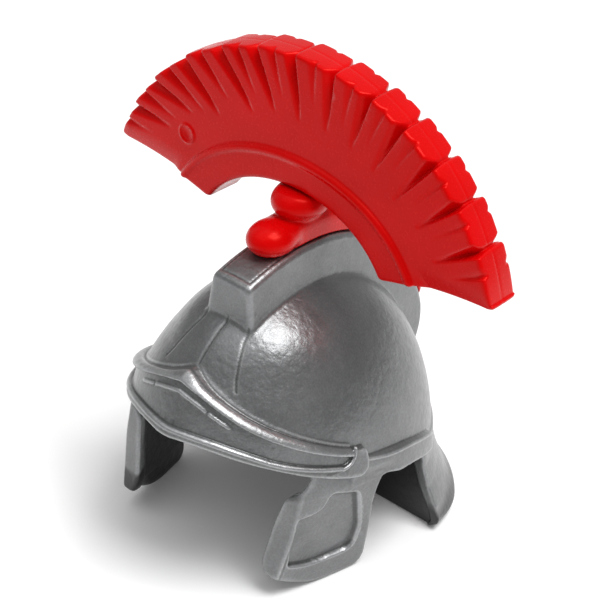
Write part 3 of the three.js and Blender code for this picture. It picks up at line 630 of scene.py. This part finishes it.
def net(field, low, step):
    """A surface of four-sided faces where a field crosses zero."""
    inside = field < 0.0
    count = np.zeros(tuple(n - 1 for n in field.shape), dtype=np.int8)
    corners = [(i, j, k) for i in (0, 1) for j in (0, 1) for k in (0, 1)]
    spans = [tuple(slice(c, n - 1 + c) for c, n in zip(corner, field.shape)) for corner in corners]
    for span in spans:
        count += inside[span]
    cells = np.argwhere((count > 0) & (count < 8))
    number = np.full(count.shape, -1, dtype=np.int32)
    number[tuple(cells.T)] = np.arange(len(cells), dtype=np.int32)
    values = np.stack([field[span][tuple(cells.T)] for span in spans], 1)
    total = np.zeros((len(cells), 3), dtype=np.float32)
    hits = np.zeros(len(cells), dtype=np.float32)
    for a, ca in enumerate(corners):
        for b, cb in enumerate(corners):
            if b <= a or sum(abs(p - q) for p, q in zip(ca, cb)) != 1:
                continue
            va, vb = values[:, a], values[:, b]
            crosses = (va < 0) != (vb < 0)
            t = np.where(crosses, va / np.where(crosses, va - vb, 1.0), 0.0)
            near, far = np.array(ca, dtype=np.float32), np.array(cb, dtype=np.float32)
            place = near + t[:, None] * (far - near)
            total += np.where(crosses[:, None], place, 0.0)
            hits += crosses
    points = (cells + total / hits[:, None]) * step + np.array(low)
    faces = []
    for axis in range(3):
        others = [n for n in range(3) if n != axis]
        start = [slice(None)] * 3
        stop = [slice(None)] * 3
        start[axis] = slice(0, -1)
        stop[axis] = slice(1, None)
        first = inside[tuple(start)]
        edges = np.argwhere(first != inside[tuple(stop)])
        keep = np.ones(len(edges), dtype=bool)
        for n in others:
            keep &= (edges[:, n] > 0) & (edges[:, n] < field.shape[n] - 1)
        edges = edges[keep]
        ring = []
        for da, db in ((0, 0), (1, 0), (1, 1), (0, 1)):
            cell = edges.copy()
            cell[:, others[0]] -= da
            cell[:, others[1]] -= db
            ring.append(number[tuple(cell.T)])
        quads = np.stack(ring, 1)
        flip = first[tuple(edges.T)] if axis != 1 else ~first[tuple(edges.T)]
        quads[~flip] = quads[~flip][:, ::-1]
        faces.append(quads)
    return points.astype(np.float32), np.concatenate(faces)


def sample(field, low, step, points):
    """The field's values at places between its samples."""
    at = (points - np.array(low)) / step
    size = np.array(field.shape[:3])
    cell = np.clip(np.floor(at).astype(np.int32), 0, size - 2)
    t = np.clip(at - cell, 0.0, 1.0).astype(np.float32)
    result = 0.0
    for i in (0, 1):
        for j in (0, 1):
            for k in (0, 1):
                weight = np.abs(1 - i - t[:, 0]) * np.abs(1 - j - t[:, 1]) * np.abs(1 - k - t[:, 2])
                value = field[cell[:, 0] + i, cell[:, 1] + j, cell[:, 2] + k]
                result = result + (value * weight if value.ndim == 1 else value * weight[:, None])
    return result


def settle(field, slopes, low, step, points):
    """Moves points onto the surface and gives its direction there."""
    for _ in range(3):
        value = sample(field, low, step, points)
        slope = sample(slopes, low, step, points)
        size = np.maximum((slope * slope).sum(1), 0.05)
        move = np.clip(-value / size, -step, step)
        points = points + slope * move[:, None]
    slope = sample(slopes, low, step, points)
    return points, slope / np.maximum(np.linalg.norm(slope, axis=1, keepdims=True), 1e-6)


def bend_of(field, step):
    """How sharply the surface bends: above zero on edges, below zero in creases."""
    total = np.zeros_like(field)
    for axis in range(3):
        middle = [slice(1, -1)] * 3
        before = list(middle)
        after = list(middle)
        before[axis] = slice(0, -2)
        after[axis] = slice(2, None)
        total[tuple(middle)] += field[tuple(before)] + field[tuple(after)] - 2.0 * field[tuple(middle)]
    return total / step ** 2


def mesh_from(name, points, faces):
    """A mesh of four-sided faces from points in millimetres."""
    mesh = bpy.data.meshes.new(name)
    mesh.vertices.add(len(points))
    mesh.vertices.foreach_set("co", (points * MM).astype(np.float32).ravel())
    mesh.loops.add(faces.size)
    mesh.loops.foreach_set("vertex_index", faces.astype(np.int32).ravel())
    mesh.polygons.add(len(faces))
    mesh.polygons.foreach_set("loop_start", np.arange(0, faces.size, 4, dtype=np.int32))
    mesh.update(calc_edges=True)
    return mesh


def moulded(name, field, low, step, marks=None):
    """A piece moulded from a field, thinned to the triangle limit, with the field's own shading."""
    field = without_crumbs(field)
    slopes = np.stack(np.gradient(field, step), 3).astype(np.float32)
    points, faces = net(field, low, step)
    points, _ = settle(field, slopes, low, step, points)
    piece = bpy.data.objects.new(name, mesh_from(name, points, faces))
    bpy.context.scene.collection.objects.link(piece)
    if len(faces) * 2 > TRIANGLE_LIMIT:
        thin = piece.modifiers.new("thin", "DECIMATE")
        thin.ratio = TRIANGLE_LIMIT / (len(faces) * 2)
        shown = piece.evaluated_get(bpy.context.evaluated_depsgraph_get())
        mesh = bpy.data.meshes.new_from_object(shown)
        piece.modifiers.clear()
        piece.data = mesh
    mesh = piece.data
    places = np.empty(len(mesh.vertices) * 3, dtype=np.float32)
    mesh.vertices.foreach_get("co", places)
    places, normals = settle(field, slopes, low, step, places.reshape(-1, 3) / MM)
    mesh.vertices.foreach_set("co", (places * MM).astype(np.float32).ravel())
    mesh.polygons.foreach_set("use_smooth", np.ones(len(mesh.polygons), dtype=bool))
    for title, values in (marks or {}).items():
        layer = mesh.attributes.new(title, "FLOAT", "POINT")
        layer.data.foreach_set("value", sample(values, low, step, places).astype(np.float32))
    mesh.update()
    mesh.normals_split_custom_set_from_vertices(normals)
    return piece


def make_shell():
    """The silver shell, moulded as one half that is mirrored over the centre plane."""
    low, high = (-STEP * 2, -19.2, -STEP * 3), (15.4, 18.6, 30.4)
    x, y, z = grid(low, high, STEP)
    field, bare_and_shade = shell_form(np.abs(x), y, z)
    # The centre plane lies on the third sample.
    half = 2
    field = np.concatenate([field[:half:-1], field[half:]], 0).astype(np.float32)
    bare_and_shade = np.concatenate([bare_and_shade[:half:-1], bare_and_shade[half:]], 0).astype(np.float32)
    start = low[0] + half * STEP - STEP * (x.shape[0] - half - 1)
    # The low tip of the right cheek guard is turned black as painted shade.
    across = (start + STEP * np.arange(field.shape[0], dtype=np.float32))[:, None, None]
    thin = smooth_step(*TIP_PAINTED_SHADE_Y, y) * smooth_step(*TIP_PAINTED_SHADE_Z, z)
    bare_and_shade = bare_and_shade - np.where(across < 0.0, thin, 0.0).astype(np.float32)
    # The bend mark lets the silver paint shade into creases and highlights onto edges.
    marks = {"bare_and_shade": bare_and_shade, "bend": bend_of(field, STEP)}
    return moulded("shell_skin", field, (start, low[1], low[2]), STEP, marks)


def make_fan():
    low, high = (-22.8, -3.6, 28.4), (22.8, 2.5, 47.8)
    field = fan_form(*grid(low, high, FINE_STEP))
    return moulded("fan_skin", field.astype(np.float32), low, FINE_STEP)


def make_stem():
    low, high = (-3.2, -9.2, 13.0), (3.2, 19.0, 37.0)
    field = stem_form(*grid(low, high, FINE_STEP))
    return moulded("stem_skin", field.astype(np.float32), low, FINE_STEP)


def new_material(name):
    """A material with a plastic shader, and what is needed to add to it."""
    material = bpy.data.materials.new(name)
    material.use_nodes = True
    nodes = material.node_tree.nodes
    nodes.clear()
    output = nodes.new("ShaderNodeOutputMaterial")
    shader = nodes.new("ShaderNodeBsdfPrincipled")
    material.node_tree.links.new(shader.outputs["BSDF"], output.inputs["Surface"])
    return material, nodes, material.node_tree.links, shader


def noise(nodes, links, coordinates, scale, detail=3.0, roughness=0.5):
    node = nodes.new("ShaderNodeTexNoise")
    node.inputs["Scale"].default_value = scale
    node.inputs["Detail"].default_value = detail
    node.inputs["Roughness"].default_value = roughness
    links.new(coordinates, node.inputs["Vector"])
    return node.outputs["Fac"]


def grey(value):
    return value, value, value


def multiplied(nodes, links, first, second, amount):
    """Two colours multiplied, by some amount."""
    node = nodes.new("ShaderNodeMix")
    node.data_type = "RGBA"
    node.blend_type = "MULTIPLY"
    node.inputs["Factor"].default_value = amount
    links.new(first, node.inputs["A"])
    links.new(second, node.inputs["B"])
    return node.outputs["Result"]


def point_value(nodes, title):
    """A number that the mesh carries at its points."""
    node = nodes.new("ShaderNodeAttribute")
    node.attribute_name = title
    return node.outputs["Fac"]


def ramp(nodes, links, factor, stops):
    node = nodes.new("ShaderNodeValToRGB")
    links.new(factor, node.inputs["Fac"])
    elements = node.color_ramp.elements
    while len(elements) < len(stops):
        elements.new(0.5)
    for element, (place, colour) in zip(elements, stops):
        element.position = place
        element.color = (*colour, 1.0)
    return node.outputs["Color"]


def remap(nodes, links, factor, low, high, from_low=0.3, from_high=0.7):
    node = nodes.new("ShaderNodeMapRange")
    links.new(factor, node.inputs["Value"])
    node.inputs["From Min"].default_value = from_low
    node.inputs["From Max"].default_value = from_high
    node.inputs["To Min"].default_value = low
    node.inputs["To Max"].default_value = high
    return node.outputs["Result"]


def bump(nodes, links, height, strength, distance, normal=None):
    node = nodes.new("ShaderNodeBump")
    node.inputs["Strength"].default_value = strength
    node.inputs["Distance"].default_value = distance
    links.new(height, node.inputs["Height"])
    if normal is not None:
        links.new(normal, node.inputs["Normal"])
    return node.outputs["Normal"]


def silver_plastic():
    """Silver-painted plastic with flow ripples and a fine sparkle, painted shade in its creases and painted
    highlights on its edges; black plastic left unpainted inside, and painted shade at the low rims.
    """
    material, nodes, links, shader = new_material("silver_plastic")
    place = nodes.new("ShaderNodeTexCoord").outputs["Object"]
    grain = noise(nodes, links, place, 5200.0, 2.0, 0.6)
    flow = noise(nodes, links, place, 260.0, 4.0, 0.55)
    ripple = noise(nodes, links, place, 1500.0, 3.0, 0.5)
    silver = ramp(nodes, links, flow, [(0.3, (0.15, 0.153, 0.155)), (0.7, (0.192, 0.195, 0.198))])
    speckle = ramp(nodes, links, grain, [(0.35, grey(0.78)), (0.7, grey(1.2))])
    blend = multiplied(nodes, links, silver, speckle, 0.5)
    # The silver is darkened in the creases and lightened on the edges by the bend mark: painted shade and
    # painted highlights.
    bend = remap(nodes, links, point_value(nodes, "bend"), 0.0, 1.0, -5.0, 5.0)
    painted_shade_and_highlight = [(0.0, grey(0.5)), (0.42, grey(0.94)), (0.55, grey(1.0)), (1.0, grey(1.9))]
    tone = multiplied(nodes, links, blend, ramp(nodes, links, bend, painted_shade_and_highlight), 1.0)
    # Where the paint ends, its edge is ragged.
    ragged = nodes.new("ShaderNodeMath")
    ragged.operation = "MULTIPLY_ADD"
    links.new(flow, ragged.inputs[0])
    ragged.inputs[1].default_value = 0.5
    links.new(point_value(nodes, "bare_and_shade"), ragged.inputs[2])
    painted = remap(nodes, links, ragged.outputs["Value"], 0.0, 1.0, PAINT_GONE, PAINT_FULL)
    cover = nodes.new("ShaderNodeMix")
    cover.data_type = "RGBA"
    links.new(painted, cover.inputs["Factor"])
    cover.inputs["A"].default_value = (*grey(0.003), 1.0)
    links.new(tone, cover.inputs["B"])
    links.new(cover.outputs["Result"], shader.inputs["Base Color"])
    metal = nodes.new("ShaderNodeMath")
    metal.operation = "MULTIPLY"
    links.new(painted, metal.inputs[0])
    metal.inputs[1].default_value = 0.75
    links.new(metal.outputs["Value"], shader.inputs["Metallic"])
    links.new(remap(nodes, links, ripple, 0.31, 0.40), shader.inputs["Roughness"])
    shader.inputs["Coat Weight"].default_value = 0.25
    shader.inputs["Coat Roughness"].default_value = 0.13
    first = bump(nodes, links, ripple, 0.7, 0.00009)
    links.new(bump(nodes, links, grain, 0.35, 0.00003, first), shader.inputs["Normal"])
    return material


def red_plastic():
    """Glossy red plastic with soft mould flow."""
    material, nodes, links, shader = new_material("red_plastic")
    place = nodes.new("ShaderNodeTexCoord").outputs["Object"]
    flow = noise(nodes, links, place, 190.0, 4.0, 0.55)
    grain = noise(nodes, links, place, 3600.0, 2.0, 0.6)
    colour = ramp(nodes, links, flow, [(0.3, (0.51, 0.001, 0.001)), (0.7, (0.58, 0.001, 0.002))])
    links.new(colour, shader.inputs["Base Color"])
    links.new(remap(nodes, links, grain, 0.19, 0.30), shader.inputs["Roughness"])
    shader.inputs["Specular IOR Level"].default_value = 0.5
    shader.inputs["Specular Tint"].default_value = (1.0, 0.09, 0.07, 1.0)
    first = bump(nodes, links, flow, 0.15, 0.0001)
    links.new(bump(nodes, links, grain, 0.05, 0.00002, first), shader.inputs["Normal"])
    return material


def floor_material():
    """Pale matt paper that glows a little, so that the shadows stay light."""
    material, nodes, links, shader = new_material("pale_floor")
    place = nodes.new("ShaderNodeTexCoord").outputs["Object"]
    tone = noise(nodes, links, place, 40.0, 2.0)
    colour = ramp(nodes, links, tone, [(0.3, grey(0.86)), (0.7, grey(0.9))])
    links.new(colour, shader.inputs["Base Color"])
    shader.inputs["Roughness"].default_value = 0.8
    shader.inputs["Emission Color"].default_value = (1.0, 1.0, 1.0, 1.0)
    shader.inputs["Emission Strength"].default_value = 0.05
    return material


def make_floor():
    mesh = bpy.data.meshes.new("floor")
    corners = [(FLOOR_REACH * u, FLOOR_REACH * v, 0) for u, v in ((-1, -1), (1, -1), (1, 1), (-1, 1))]
    mesh.from_pydata(corners, [], [(0, 1, 2, 3)])
    floor = bpy.data.objects.new("floor", mesh)
    bpy.context.scene.collection.objects.link(floor)
    floor.data.materials.append(floor_material())


def area_light(name, place, size, power):
    """A square soft light that faces the helmet."""
    data = bpy.data.lights.new(name, "AREA")
    data.shape = "RECTANGLE"
    data.size = size
    data.size_y = size
    data.energy = power
    light = bpy.data.objects.new(name, data)
    bpy.context.scene.collection.objects.link(light)
    light.location = place
    direction = LIGHT_AIM - Vector(place)
    light.rotation_euler = direction.to_track_quat("-Z", "Y").to_euler()


def make_lights():
    """An even white room, a soft key light and a wide overhead one."""
    world = bpy.data.worlds.new("studio")
    bpy.context.scene.world = world
    world.use_nodes = True
    background = world.node_tree.nodes["Background"]
    background.inputs["Color"].default_value = (1.0, 1.0, 1.0, 1.0)
    background.inputs["Strength"].default_value = ROOM_STRENGTH
    area_light("key", **KEY)
    area_light("overhead", **OVERHEAD)


def make_camera():
    """The camera as it was fitted to the photograph."""
    ca, sa = math.cos(AZIMUTH), math.sin(AZIMUTH)
    ce, se = math.cos(ELEVATION), math.sin(ELEVATION)
    right = Vector((ca, sa, 0.0))
    back = Vector((sa * ce, -ca * ce, se))
    up = back.cross(right)
    turned_right = math.cos(ROLL) * right - math.sin(ROLL) * up
    turned_down = -math.sin(ROLL) * right - math.cos(ROLL) * up
    offset = CENTRE_SHIFT[0] * turned_right + CENTRE_SHIFT[1] * turned_down + FOCAL_PIXELS * back
    data = bpy.data.cameras.new("camera")
    data.sensor_width = SENSOR
    data.lens = SENSOR * FOCAL_PIXELS / FRAME_PIXELS
    camera = bpy.data.objects.new("camera", data)
    bpy.context.scene.collection.objects.link(camera)
    axes = Matrix((turned_right, -turned_down, back)).transposed().to_4x4()
    camera.matrix_world = Matrix.Translation((AIM + PIXEL * offset) * MM) @ axes
    bpy.context.scene.camera = camera


silver = silver_plastic()
red = red_plastic()
for piece, node, slot, material in (
    (make_shell(), "helmet_shell", "shell", silver),
    (make_stem(), "crest_stem", "stem", red),
    (make_fan(), "crest_fan", "fan", red),
):
    piece.data.materials.append(material)
    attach(piece, "root")
    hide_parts(node)

make_floor()
make_lights()
make_camera()
bpy.context.scene.view_settings.view_transform = "Standard"
